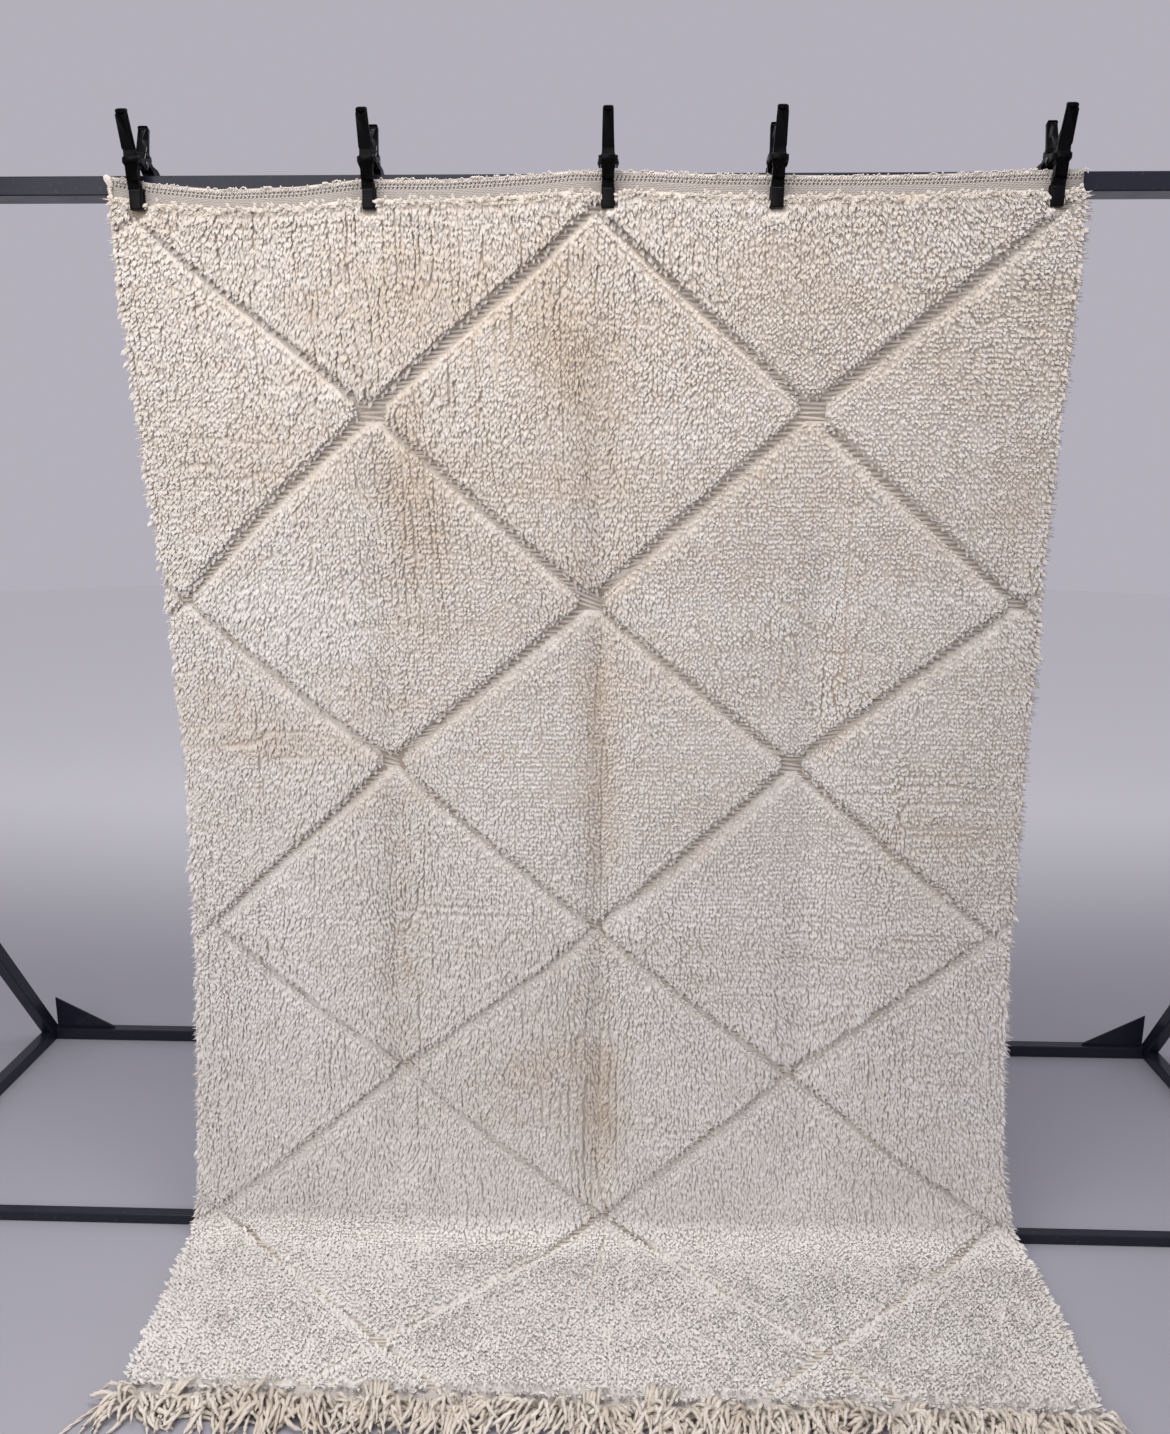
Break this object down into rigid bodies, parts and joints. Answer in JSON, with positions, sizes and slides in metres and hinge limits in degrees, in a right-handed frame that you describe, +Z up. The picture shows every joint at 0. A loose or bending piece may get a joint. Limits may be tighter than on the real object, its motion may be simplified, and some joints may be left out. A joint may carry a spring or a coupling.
{
  "type": "beni ourain rug on a hanging stand",
  "caption": "Cream wool shag rug with a recessed diamond lattice and a fringed end, clamped to a steel tube stand, hanging to the floor and bending forward on it.",
  "frame": {"origin": "on the floor, under the middle of the front floor rail, below the middle of the top rail", "axes": "+Z up, +X along the rails to the right as the pile is seen, +Y to the back, away from the pile"},
  "size_m": [2.94, 1.3225, 2.0556],
  "materials": {
    "wool_pile": "undyed cream wool, cut pile",
    "fringe_yarn": "undyed beige wool yarn",
    "black_paint": "satin black paint",
    "black_nylon": "moulded nylon",
    "black_rubber": "soft rubber",
    "steel": "blued steel"
  },
  "bodies": {
    "root": {"rug": "wool_pile", "fringe": "fringe_yarn", "top_rail": "black_paint", "post_left": "black_paint", "post_right": "black_paint", "front_floor_rail": "black_paint", "back_floor_rail": "black_paint", "side_bar_left": "black_paint", "side_bar_right": "black_paint", "brace_left": "black_paint", "brace_right": "black_paint", "gusset_left": "black_paint", "gusset_right": "black_paint", "clamp_1_front_arm": "black_nylon", "clamp_1_back_arm": "black_nylon", "clamp_1_front_pad": "black_rubber", "clamp_1_back_pad": "black_rubber", "clamp_1_pin": "steel", "clamp_1_spring": "steel", "clamp_2_front_arm": "black_nylon", "clamp_2_back_arm": "black_nylon", "clamp_2_front_pad": "black_rubber", "clamp_2_back_pad": "black_rubber", "clamp_2_pin": "steel", "clamp_2_spring": "steel", "clamp_3_front_arm": "black_nylon", "clamp_3_back_arm": "black_nylon", "clamp_3_front_pad": "black_rubber", "clamp_3_back_pad": "black_rubber", "clamp_3_pin": "steel", "clamp_3_spring": "steel", "clamp_4_front_arm": "black_nylon", "clamp_4_back_arm": "black_nylon", "clamp_4_front_pad": "black_rubber", "clamp_4_back_pad": "black_rubber", "clamp_4_pin": "steel", "clamp_4_spring": "steel", "clamp_5_front_arm": "black_nylon", "clamp_5_back_arm": "black_nylon", "clamp_5_front_pad": "black_rubber", "clamp_5_back_pad": "black_rubber", "clamp_5_pin": "steel", "clamp_5_spring": "steel"}
  },
  "joints": []
}
